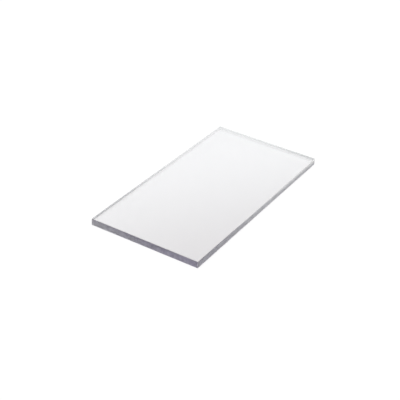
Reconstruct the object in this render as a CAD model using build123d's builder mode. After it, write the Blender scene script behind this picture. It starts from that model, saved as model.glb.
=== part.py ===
from build123d import *
import os

# One rectangle of clear, solid polycarbonate sheet, sawn square and lying flat.
# The origin is the middle of the lower face: X runs along the length, Y across the width.

# The stock that the piece was sawn from
sheet_thickness = 6.0

# The rectangle between the saw cuts
cut_length = 200.0
cut_width = 100.0

# What a scraper takes off after sawing: the upright corners, and the arris along both faces
corner_radius = 0.5
arris = 0.3

with BuildPart() as sheet:
    with BuildSketch(Plane.XY) as outline:
        Rectangle(cut_length, cut_width)
        fillet(outline.vertices(), radius=corner_radius)
    extrude(amount=sheet_thickness)

    lower_face, upper_face = sheet.faces().filter_by(Axis.Z).sort_by(Axis.Z)
    chamfer(lower_face.edges() + upper_face.edges(), length=arris)

sheet.part.label = "sheet"

os.makedirs("parts", exist_ok=True)
export_step(sheet.part, "parts/sheet.step")
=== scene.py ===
import math

import bpy
from mathutils import Matrix, Vector


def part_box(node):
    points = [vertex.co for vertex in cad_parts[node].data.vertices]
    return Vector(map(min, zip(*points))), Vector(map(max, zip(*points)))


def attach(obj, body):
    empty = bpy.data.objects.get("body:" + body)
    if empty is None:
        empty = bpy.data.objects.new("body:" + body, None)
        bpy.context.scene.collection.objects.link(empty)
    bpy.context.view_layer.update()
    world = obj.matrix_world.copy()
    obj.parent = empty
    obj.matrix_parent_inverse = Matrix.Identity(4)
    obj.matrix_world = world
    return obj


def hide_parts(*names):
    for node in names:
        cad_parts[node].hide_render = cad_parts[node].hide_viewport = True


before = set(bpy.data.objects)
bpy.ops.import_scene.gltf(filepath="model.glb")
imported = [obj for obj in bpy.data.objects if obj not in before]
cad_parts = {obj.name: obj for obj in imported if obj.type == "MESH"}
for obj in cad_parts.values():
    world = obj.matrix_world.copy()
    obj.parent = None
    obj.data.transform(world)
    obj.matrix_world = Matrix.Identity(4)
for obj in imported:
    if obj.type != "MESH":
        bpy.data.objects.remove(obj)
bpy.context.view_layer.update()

# Lengths are in metres, angles in degrees, and the lens and its sensor in millimetres.
# X runs along the sheet's length, Y across its width, Z up.
MM = 0.001

# The sheet's size, from the solid that it stands for
low, high = (Vector(corner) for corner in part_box("sheet"))
LENGTH, WIDTH, THICKNESS = high - low
MIDDLE = (low + high) / 2
ENDS = LENGTH / 2
SIDES = WIDTH / 2

# The upright corners, eased to a round
CORNER_RADIUS = 0.5 * MM
CORNER_STEPS = 4
CORNER_PROFILE = 0.5
CORNER_REACH = 2 * CORNER_RADIUS

# The arrises that a scraper took off. Two of the lower ones were spared
ARRIS = 0.3 * MM
ARRIS_SPARED = 0.1 * MM
ARRIS_WANDER = 0.12 * MM
WANDER_SIZE = 12 * MM
WANDER_OCTAVES = 1

# How near two places are that count as one
TOUCH = 0.01 * MM

# How finely the cut faces are divided, so that they can carry the saw's marks
MARK_STRETCH = 4 * MM
MARK_COLUMN = 0.16 * MM
MARK_ROWS = 5

# The ridges that the teeth left
TOOTH_PITCH = 1.3 * MM
TOOTH_DEPTH = 0.02 * MM
TOOTH_SLANT = 0.25
TOOTH_WANDER = 2.5
TOOTH_WANDER_SIZE = 6.0

# Blender's band texture turns through this many radians in one unit of length
BAND_TURN = 10

# The finer chatter over the ridges, which is drawn out upwards
CHATTER_SIZE = 0.7 * MM
CHATTER_STRETCH = 14.0
CHATTER_DEPTH = 0.03 * MM
CHATTER_OCTAVES = 2

# How far inside the four sides a place counts as cut, as scraped, and as being on one side
CUT_FULL, CUT_NONE = 0.8 * ARRIS, 1.2 * ARRIS
SCRAPED_NONE, SCRAPED_FULL = 0.15 * ARRIS, 0.35 * ARRIS
SIDE_FULL, SIDE_NONE = 1.2 * ARRIS, 1.6 * ARRIS

# Cloudy noise: how many sizes of grain it has, and its middle value
NOISE_DETAIL = 2.0
NOISE_MIDDLE = 0.5

# The smears that the saw left, how far they shift a tint, and how much darker the upper half of the
# left end is made
SMEAR_SIZE = 2.5 * MM
SMEAR_STRETCH = 3.0
SMEAR_SHARE = 1.2
LEFT_TOP_DARKENING = 0.45

# The painted shade along a cut: how far it reaches from the near corner, and how much of it comes
# back towards the right end
SHADE_REACH = 120 * MM
EXIT_SHADE = 0.55

# The fine upright lines, which are too close together to be modelled
LINE_SIZE = 0.35 * MM
LINE_STRETCH = 25.0
LINE_DEPTH = 0.02 * MM
LINE_STRENGTH = 1.0

# How rough each surface is, and how much more so in a smear
FACE_ROUGH = 0.015
SAWN_ROUGH = 0.42
SAWN_SMEAR = 0.06
RUBBED_ROUGH = 0.03
FROST_ROUGH = 0.50

# How far the rubbing and painted shade from the far corner lean to one side, and how wide the band
# of painted shade by the right end is
RUBBED_LEAN = 1.2
RIGHT_BAND_REACH = 6 * MM

# How white the frost is on a sawn face, on a scraped arris, and where the scraper bit
SAWN_FROST = 0.02
SCRAPED_FROST = 0.40
SCRAPE_FROST = 1.00

# How far from the left end the front side's arris starts to be frosted, and is so in full
FROST_START = 0.1 * ENDS
FROST_FULL = 0.5 * ENDS

# Where the scraper starts to bite, and how deep it would be after the sheet's whole length
SCRAPE_START = -ENDS / 2
SCRAPE_REACH = 7.6 * MM

# What the surface lets through. Each cut face's tint carries painted shade, and the faces carry a
# band of painted shade by the right end
FACE_TINT = (0.924, 0.907, 0.915, 1)
# Painted shade: the darker tint of a band of the faces along the right end
RIGHT_BAND_SHADE_TINT = (0.78, 0.775, 0.78, 1)
# Painted shade: the first tint of each pair is the cut face's tint darkened towards the near corner
LEFT_SHADED = (0.225, 0.184, 0.282, 1)
LEFT_UNSHADED = (0.78, 0.735, 0.785, 1)
FRONT_SHADED = (0.44, 0.395, 0.465, 1)
FRONT_UNSHADED = (0.98, 0.94, 0.91, 1)
# Painted shade: the tint that the back side and right end darken to away from the far corner
BACK_SHADE_TINT = (0.40, 0.40, 0.41, 1)
RUBBED_TINT = (0.95, 0.95, 0.95, 1)
FROST_TINT = (0.985, 0.945, 0.945, 1)

# The plastic's own tint in depth, how strongly it acts, and how far the plastic bends light
DEPTH_TINT = (0.50, 0.49, 0.58, 1)
DEPTH_DENSITY = 6.0
PLASTIC_IOR = 1.585

# A turn from face to face that is sharper than this stays a crisp edge
CRISP = math.radians(30)

# The camera, as it stood for the photograph
VIEW_AZIMUTH = -60.49
VIEW_ELEVATION = 31.73
VIEW_ROLL = 4.17
VIEW_DISTANCE = 0.8500
VIEW_AIM = Vector((-0.0234, -0.0043, THICKNESS))
FOCAL_LENGTH = 92.33
SENSOR_WIDTH = 36.0
CLIP_START = 0.01

# The surround: white up to one height in degrees and dark from another, round a leaning axis
SKY_LEAN = 13.0
SKY_HEADING = -61.0
SKY_AXIS = 90 - SKY_LEAN
SKY_WHITE = 28.0
SKY_DARK = 35.5
SKY_LEVEL = 1.0
SKY_TOP = 0.05
SKY_TINT = (0.92, 1.0, 1.0, 1)

# The round panel that the upper face mirrors in the photograph. Its rim is soft
PANEL_HEADING = 29.5
PANEL_HEIGHT = 31.7
PANEL_START = math.cos(math.radians(35))
PANEL_FULL = math.cos(math.radians(12))
PANEL_LEVEL = 1.3

# The soft box overhead
LAMP_SIZE = 2.6
LAMP_POWER = 32.0
LAMP_PLACE = (0.2, 0.3, 1.5)

# The floor, a hair below the sheet, as a real sheet never lies quite flat
AIR_GAP = 0.2 * MM
FLOOR_REACH = 8.0
FLOOR_MATT = (0.8, 0.8, 0.8, 1)

# How much of the floor's look is its own glow near the sheet, and from how far off it grows to all
FLOOR_GLOW = 0.8
GLOW_TINT = (1, 1, 1, 1)
GLOW_START = 0.2
GLOW_FULL = 1.2

# How bright the floor and the surround look where nothing else does
WHITE = 1.1

# How often light may turn in all, at a gloss, through the plastic and off a matt surface
TURNS = 40
TURNS_AT_GLOSS = 40
TURNS_THROUGH = 24
TURNS_OFF_MATT = 4

# The sockets of a Mix node that carry colours
MIX_FIRST, MIX_SECOND, MIX_RESULT = 6, 7, 2


class Socket:
    """A node's output. Arithmetic on it adds Math nodes to its tree."""

    def __init__(self, tree, output):
        self.tree = tree
        self.output = output

    def math(self, operation, *values):
        return self.tree.add("ShaderNodeMath", {"operation": operation}, dict(enumerate(values)))

    def __add__(self, other):
        return self.math("ADD", self, other)

    __radd__ = __add__

    def __sub__(self, other):
        return self.math("SUBTRACT", self, other)

    def __rsub__(self, other):
        return self.math("SUBTRACT", other, self)

    def __mul__(self, other):
        return self.math("MULTIPLY", self, other)

    __rmul__ = __mul__

    def __abs__(self):
        return self.math("ABSOLUTE", self)

    def larger(self, other):
        return self.math("MAXIMUM", self, other)

    def smaller(self, other):
        return self.math("MINIMUM", self, other)


class Tree:
    """A material's or the world's nodes."""

    def __init__(self, owner):
        owner.use_nodes = True
        self.nodes = owner.node_tree.nodes
        self.links = owner.node_tree.links
        self.nodes.clear()

    def add(self, kind, settings=None, inputs=None, output=0):
        """One node: its settings first, then the values or links of its sockets."""
        node = self.nodes.new(kind)
        for name, value in (settings or {}).items():
            setattr(node, name, value)
        for key, value in (inputs or {}).items():
            if isinstance(value, Socket):
                self.links.new(value.output, node.inputs[key])
            else:
                node.inputs[key].default_value = value
        if not node.outputs:
            return None
        return Socket(self, node.outputs[output])

    def several(self, first, names):
        """More outputs of the node that the first one belongs to."""
        return [Socket(self, first.output.node.outputs[name]) for name in names]

    def place(self):
        """A place on the surface, and its X, Y and Z, in metres."""
        spot = self.add("ShaderNodeTexCoord", output="Object")
        return spot, self.several(self.add("ShaderNodeSeparateXYZ", inputs={0: spot}), "XYZ")

    def noise(self, spot, size):
        """Cloudy noise from 0 to 1, whose grain has the given size along each axis."""
        scaled = self.add("ShaderNodeVectorMath", {"operation": "DIVIDE"}, {0: spot, 1: size})
        return self.add(
            "ShaderNodeTexNoise",
            inputs={"Vector": scaled, "Scale": 1.0, "Detail": NOISE_DETAIL},
        )

    def blend(self, factor, first, second):
        """From the first colour at 0 to the second at 1."""
        return self.add(
            "ShaderNodeMix",
            {"data_type": "RGBA"},
            {0: factor, MIX_FIRST: first, MIX_SECOND: second},
            output=MIX_RESULT,
        )

    def along(self, way, heading, height):
        """How far a way points along an axis, which has a heading and a height in degrees."""
        heading, height = math.radians(heading), math.radians(height)
        level = math.cos(height)
        axis = (level * math.cos(heading), level * math.sin(heading), math.sin(height))
        return self.add(
            "ShaderNodeVectorMath",
            {"operation": "DOT_PRODUCT"},
            {0: way, 1: axis},
            output="Value",
        )

    def step(self, value, start, end):
        """0 on start's side and 1 on end's side, with a smooth change between them."""
        return self.add(
            "ShaderNodeMapRange",
            {"interpolation_type": "SMOOTHSTEP"},
            {"Value": value, "From Min": start, "From Max": end},
        )


def select(piece, kind, wanted):
    """Selects in code the edges or vertices for which wanted is true, and nothing else."""
    bpy.ops.object.mode_set(mode="EDIT")
    bpy.ops.mesh.select_mode(type=kind)
    bpy.ops.mesh.select_all(action="DESELECT")
    bpy.ops.object.mode_set(mode="OBJECT")
    for element in piece.data.edges if kind == "EDGE" else piece.data.vertices:
        element.select = wanted(element)
    bpy.ops.object.mode_set(mode="EDIT")


def pick(piece):
    """Makes the piece the only one selected, and the active one."""
    bpy.ops.object.select_all(action="DESELECT")
    piece.select_set(True)
    bpy.context.view_layer.objects.active = piece


def near(a, b):
    return abs(a - b) < TOUCH


def run_of(piece, edge):
    """The way from one end of an edge to the other."""
    start, end = (piece.data.vertices[v].co for v in edge.vertices)
    return end - start


def outline():
    """The rectangle between the saw cuts, with its eased corners, as one closed loop of edges."""
    bpy.ops.object.select_all(action="DESELECT")
    bpy.ops.mesh.primitive_plane_add(size=1.0)
    piece = bpy.context.object
    piece.name = "clear_sheet"
    bpy.ops.object.mode_set(mode="EDIT")
    bpy.ops.transform.resize(value=(LENGTH, WIDTH, 1))
    bpy.ops.transform.translate(value=(MIDDLE.x, MIDDLE.y, low.z))
    bpy.ops.mesh.bevel(
        offset=CORNER_RADIUS,
        segments=CORNER_STEPS,
        profile=CORNER_PROFILE,
        affect="VERTICES",
    )
    bpy.ops.mesh.select_all(action="SELECT")
    bpy.ops.mesh.delete(type="ONLY_FACE")
    bpy.ops.object.mode_set(mode="OBJECT")
    return piece


def columns(piece):
    """Cuts the long runs of the outline twice over, first coarsely and then finely."""
    for axis in (0, 1):
        for gap in (MARK_STRETCH, MARK_COLUMN):
            runs = [run_of(piece, edge) for edge in piece.data.edges]
            longest = max(abs(run[axis]) for run in runs if near(run[1 - axis], 0))
            select(piece, "EDGE", lambda e: near(abs(run_of(piece, e)[axis]), longest))
            bpy.ops.mesh.subdivide(number_cuts=round(longest / gap) - 1)
            bpy.ops.object.mode_set(mode="OBJECT")


def lift(height):
    """Extrudes the selected loop upwards."""
    bpy.ops.mesh.extrude_region_move(TRANSFORM_OT_translate={"value": (0, 0, height)})


def walls(piece):
    """Raises the four cut faces, with an arris below and above, and closes the sheet."""
    inward = ((LENGTH - 2 * ARRIS) / LENGTH, (WIDTH - 2 * ARRIS) / WIDTH, 1)
    outward = (1 / inward[0], 1 / inward[1], 1)
    bpy.ops.object.mode_set(mode="EDIT")
    bpy.ops.mesh.select_all(action="SELECT")
    bpy.ops.transform.resize(value=inward)
    lift(ARRIS)
    bpy.ops.transform.resize(value=outward)
    for _ in range(MARK_ROWS):
        lift((THICKNESS - 2 * ARRIS) / MARK_ROWS)
    lift(ARRIS)
    bpy.ops.transform.resize(value=inward)
    bpy.ops.mesh.edge_face_add()
    select(piece, "VERT", lambda v: near(v.co.z, low.z))
    bpy.ops.mesh.edge_face_add()
    bpy.ops.mesh.select_all(action="SELECT")
    bpy.ops.mesh.normals_make_consistent(inside=False)
    bpy.ops.object.mode_set(mode="OBJECT")


def far_corner(co):
    """True close to the upright corner between the right end and the back side."""
    return min(co.x - ENDS, co.y - SIDES) > -CORNER_REACH


def spare(piece):
    """Shrinks the lower arris along the right end and the back side, which were hardly scraped."""
    kept = ARRIS - ARRIS_SPARED
    rims = (
        (ARRIS, lambda co: near(co.x, ENDS) or near(co.y, SIDES), (0, 0, -kept)),
        (0, lambda co: near(co.x, ENDS - ARRIS), (kept, 0, 0)),
        (0, lambda co: near(co.y, SIDES - ARRIS), (0, kept, 0)),
    )
    for height, on_rim, move in rims:
        select(
            piece,
            "VERT",
            lambda v: near(v.co.z, low.z + height) and (on_rim(v.co) or far_corner(v.co)),
        )
        bpy.ops.transform.translate(value=move)
    bpy.ops.object.mode_set(mode="OBJECT")


def sawn(co):
    """True on the two flat faces that are fresh from the saw, up to where the arrises start."""
    return near(co.x, -ENDS) or near(co.y, -SIDES)


def group(piece, name, wanted):
    """A vertex group of the vertices for which wanted is true."""
    made = piece.vertex_groups.new(name=name)
    made.add([v.index for v in piece.data.vertices if wanted(v.co)], 1.0, "REPLACE")
    return made


def relief(piece, name, texture, grid, depth, wanted, direction="NORMAL", middle=1.0):
    """Presses a texture into part of the piece. One unit of it is stretched to the grid's size."""
    bpy.ops.object.select_all(action="DESELECT")
    bpy.ops.object.empty_add(location=(0, 0, 0))
    guide = bpy.context.object
    guide.scale = grid
    bpy.context.view_layer.update()
    pick(piece)
    marks = piece.modifiers.new(name, "DISPLACE")
    marks.texture = texture
    marks.texture_coords = "OBJECT"
    marks.texture_coords_object = guide
    marks.direction = direction
    marks.mid_level = middle
    marks.strength = depth
    marks.vertex_group = group(piece, name, wanted).name
    bpy.ops.object.modifier_apply(modifier=marks.name)
    piece.vertex_groups.remove(piece.vertex_groups[name])
    bpy.data.objects.remove(guide)


def bands(name):
    """Even ridges, one for each tooth, that wander a little."""
    texture = bpy.data.textures.new(name, "WOOD")
    texture.wood_type = "BANDNOISE"
    texture.noise_basis_2 = "SIN"
    texture.turbulence = TOOTH_WANDER
    texture.noise_scale = TOOTH_WANDER_SIZE
    return texture


def clouds(name, octaves):
    """Soft lumps of one unit's size."""
    texture = bpy.data.textures.new(name, "CLOUDS")
    texture.noise_scale = 1.0
    texture.noise_depth = octaves
    return texture


def saw_marks(piece):
    """Slanted ridges at the pitch of the teeth, finer chatter, and arrises of uneven width."""
    wave = TOOTH_PITCH * BAND_TURN / math.tau
    ridges = (wave, wave, wave / TOOTH_SLANT)
    relief(piece, "ridges", bands("tooth_ridges"), ridges, TOOTH_DEPTH, sawn)

    fine = (CHATTER_SIZE, CHATTER_SIZE, CHATTER_SIZE * CHATTER_STRETCH)
    relief(piece, "chatter", clouds("chatter", CHATTER_OCTAVES), fine, CHATTER_DEPTH, sawn)

    wander = (WANDER_SIZE, WANDER_SIZE, WANDER_SIZE)
    for name, z in (("upper_arris", high.z - ARRIS), ("lower_arris", low.z + ARRIS)):
        relief(
            piece,
            name,
            clouds(name, WANDER_OCTAVES),
            wander,
            ARRIS_WANDER,
            lambda co: sawn(co) and near(co.z, z),
            direction="Z",
            middle=NOISE_MIDDLE,
        )


def polycarbonate():
    """Clear, glossy faces between satin cut faces, frosted upper arrises and a rubbed corner, with
    painted shade in the cut faces' tints and in a band by the right end.
    """
    material = bpy.data.materials.new("clear_polycarbonate")
    tree = Tree(material)
    spot, (x, y, z) = tree.place()

    # How far a place lies inside the cut faces: next to nothing under the marks, more on an arris
    depth = (ENDS - abs(x)).smaller(SIDES - abs(y))
    cut = 1 - tree.step(depth, CUT_FULL, CUT_NONE)
    scraped = tree.step(depth, SCRAPED_NONE, SCRAPED_FULL)
    upper = tree.step(z, MIDDLE.z, high.z)

    # The left end and the front side are fresh from the saw. The other two are dull next to them
    # and were rubbed smooth towards the far corner, and the same mask darkens their tint as painted
    # shade away from that corner
    left = cut * (1 - tree.step(x + ENDS, SIDE_FULL, SIDE_NONE))
    front = cut * (1 - tree.step(y + SIDES, SIDE_FULL, SIDE_NONE))
    dull_and_shaded = cut * tree.step(ENDS - x + RUBBED_LEAN * (SIDES - y), 0, LENGTH)
    fresh = left.larger(front).larger(dull_and_shaded)

    # The scraper frosted the upper arrises, except at the start of the front side
    started = tree.step(x + ENDS, FROST_START, FROST_FULL)
    arrises = scraped * upper * left.larger(front * started)

    # From a quarter of the way on, it bit deeper and deeper into the top of the front side
    reach = TOUCH + (x - SCRAPE_START).larger(0) * (SCRAPE_REACH / LENGTH)
    frosted = front * tree.step(z, high.z - reach, high.z)

    # Painted shade darkens the cut faces' violet grey tint towards the near corner, and again
    # towards the right end. The saw's smears and lines stayed behind
    smeared = tree.noise(spot, (SMEAR_SIZE, SMEAR_SIZE, SMEAR_SIZE * SMEAR_STRETCH))
    # Painted shade: 0 at the near corner, where the cut faces' tint is darkest, and lower again
    # towards the right end
    unshaded_and_smears = tree.step(x + ENDS + y + SIDES, 0, SHADE_REACH) * (1 - EXIT_SHADE * tree.step(x, 0, ENDS))
    # The upper half of the left end is made darker as well
    unshaded_and_smears = unshaded_and_smears + SMEAR_SHARE * (smeared - NOISE_MIDDLE) - LEFT_TOP_DARKENING * left * upper
    lines = tree.noise(spot, (LINE_SIZE, LINE_SIZE, LINE_SIZE * LINE_STRETCH))
    bump = tree.add(
        "ShaderNodeBump",
        inputs={"Strength": LINE_STRENGTH, "Distance": LINE_DEPTH, "Height": lines * fresh},
    )

    # Painted shade on the back side and right end, darker away from the far corner
    tint = tree.blend(dull_and_shaded, RUBBED_TINT, BACK_SHADE_TINT)
    # The left end and the front side take their painted shade here
    tint = tree.blend(left, tint, tree.blend(unshaded_and_smears, LEFT_SHADED, LEFT_UNSHADED))
    tint = tree.blend(front, tint, tree.blend(unshaded_and_smears, FRONT_SHADED, FRONT_UNSHADED))
    # A band of painted shade on the faces along the right end
    right_band_shade = tree.step(ENDS - x, RIGHT_BAND_REACH, 0)
    tint = tree.blend(cut, tree.blend(right_band_shade, FACE_TINT, RIGHT_BAND_SHADE_TINT), tint)
    rough = RUBBED_ROUGH + fresh * (SAWN_ROUGH - RUBBED_ROUGH + SAWN_SMEAR * smeared)
    clear = tree.add(
        "ShaderNodeBsdfPrincipled",
        inputs={
            "Base Color": tint,
            "Roughness": FACE_ROUGH + cut * (rough - FACE_ROUGH),
            "IOR": PLASTIC_IOR,
            "Transmission Weight": 1.0,
            "Normal": bump,
        },
    )
    frost = tree.add(
        "ShaderNodeBsdfPrincipled",
        inputs={
            "Base Color": FROST_TINT,
            "Roughness": FROST_ROUGH,
            "IOR": PLASTIC_IOR,
            "Normal": bump,
        },
    )
    share = (arrises * SCRAPED_FROST).larger(frosted * SCRAPE_FROST).larger(fresh * SAWN_FROST)
    surface = tree.add("ShaderNodeMixShader", inputs={0: share, 1: clear, 2: frost})
    inside = tree.add(
        "ShaderNodeVolumeAbsorption",
        inputs={"Color": DEPTH_TINT, "Density": DEPTH_DENSITY},
    )
    tree.add("ShaderNodeOutputMaterial", inputs={"Surface": surface, "Volume": inside})
    return material


def make_sheet():
    """The sheet, from its outline to its finish."""
    piece = outline()
    columns(piece)
    walls(piece)
    spare(piece)
    saw_marks(piece)
    pick(piece)
    bpy.ops.object.shade_smooth_by_angle(angle=CRISP)
    piece.data.materials.append(polycarbonate())
    return piece


def paper():
    """A white floor that keeps a faint shadow by the sheet and is plain white further off."""
    material = bpy.data.materials.new("white_floor")
    tree = Tree(material)
    spot, _ = tree.place()
    far = tree.add("ShaderNodeVectorMath", {"operation": "LENGTH"}, {0: spot}, output="Value")
    seen = tree.add("ShaderNodeLightPath", output="Is Camera Ray")
    mirrored, through = tree.several(seen, ("Is Glossy Ray", "Is Transmission Ray"))
    seen = seen.larger(mirrored).larger(through)
    matt = tree.add("ShaderNodeBsdfDiffuse", inputs={"Color": FLOOR_MATT})
    glow = tree.add("ShaderNodeEmission", inputs={"Color": GLOW_TINT, "Strength": WHITE})
    share = seen * tree.step(far, GLOW_START, GLOW_FULL).larger(FLOOR_GLOW)
    both = tree.add("ShaderNodeMixShader", inputs={0: share, 1: matt, 2: glow})
    tree.add("ShaderNodeOutputMaterial", inputs={"Surface": both})
    return material


def make_floor():
    """The floor, which is no part of the object."""
    bpy.ops.object.select_all(action="DESELECT")
    place = (0, 0, low.z - AIR_GAP)
    bpy.ops.mesh.primitive_plane_add(size=2 * FLOOR_REACH, location=place)
    floor = bpy.context.object
    floor.name = "floor"
    bpy.ops.object.transform_apply(location=True, rotation=False, scale=False)
    floor.data.materials.append(paper())


def light_world():
    """A pale surround, dark overhead, with a soft panel opposite the camera."""
    world = bpy.data.worlds.new("studio")
    bpy.context.scene.world = world
    tree = Tree(world)
    way = tree.add("ShaderNodeTexCoord", output="Generated")
    up = tree.along(way, SKY_HEADING, SKY_AXIS)
    panel = tree.step(tree.along(way, PANEL_HEADING, PANEL_HEIGHT), PANEL_START, PANEL_FULL)
    bright = SKY_LEVEL + (PANEL_LEVEL - SKY_LEVEL) * panel
    white, dark = (math.sin(math.radians(height)) for height in (SKY_WHITE, SKY_DARK))
    strength = bright + (SKY_TOP - bright) * tree.step(up, white, dark)
    seen = tree.add("ShaderNodeLightPath", output="Is Camera Ray")
    glow = tree.add(
        "ShaderNodeBackground",
        inputs={"Color": SKY_TINT, "Strength": strength.larger(WHITE * seen)},
    )
    tree.add("ShaderNodeOutputWorld", inputs={"Surface": glow})


def light_overhead():
    """One large soft box above."""
    lamp = bpy.data.lights.new("soft_box", "AREA")
    lamp.shape = "SQUARE"
    lamp.size = LAMP_SIZE
    lamp.energy = LAMP_POWER
    holder = bpy.data.objects.new("soft_box", lamp)
    holder.location = LAMP_PLACE
    bpy.context.collection.objects.link(holder)


def make_camera():
    """The camera that looks at the sheet as the photograph does."""
    lens = bpy.data.cameras.new("camera")
    lens.lens = FOCAL_LENGTH
    lens.sensor_width = SENSOR_WIDTH
    lens.clip_start = CLIP_START
    azimuth, elevation = math.radians(VIEW_AZIMUTH), math.radians(VIEW_ELEVATION)
    back = Vector((
        math.sin(azimuth) * math.cos(elevation),
        -math.cos(azimuth) * math.cos(elevation),
        math.sin(elevation),
    ))
    turn = back.to_track_quat("Z", "Y").to_matrix().to_4x4()
    roll = Matrix.Rotation(math.radians(VIEW_ROLL), 4, "Z")
    camera = bpy.data.objects.new("camera", lens)
    camera.matrix_world = Matrix.Translation(VIEW_AIM + back * VIEW_DISTANCE) @ turn @ roll
    bpy.context.collection.objects.link(camera)
    bpy.context.scene.camera = camera


def set_paths():
    """Light that enters an edge is turned back from face to face many times before it leaves."""
    cycles = bpy.context.scene.cycles
    cycles.max_bounces = TURNS
    cycles.glossy_bounces = TURNS_AT_GLOSS
    cycles.transmission_bounces = TURNS_THROUGH
    cycles.diffuse_bounces = TURNS_OFF_MATT


bpy.context.scene.view_settings.view_transform = "Standard"
set_paths()
make_camera()
make_floor()
light_world()
light_overhead()

sheet = make_sheet()
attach(sheet, "root")
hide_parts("sheet")
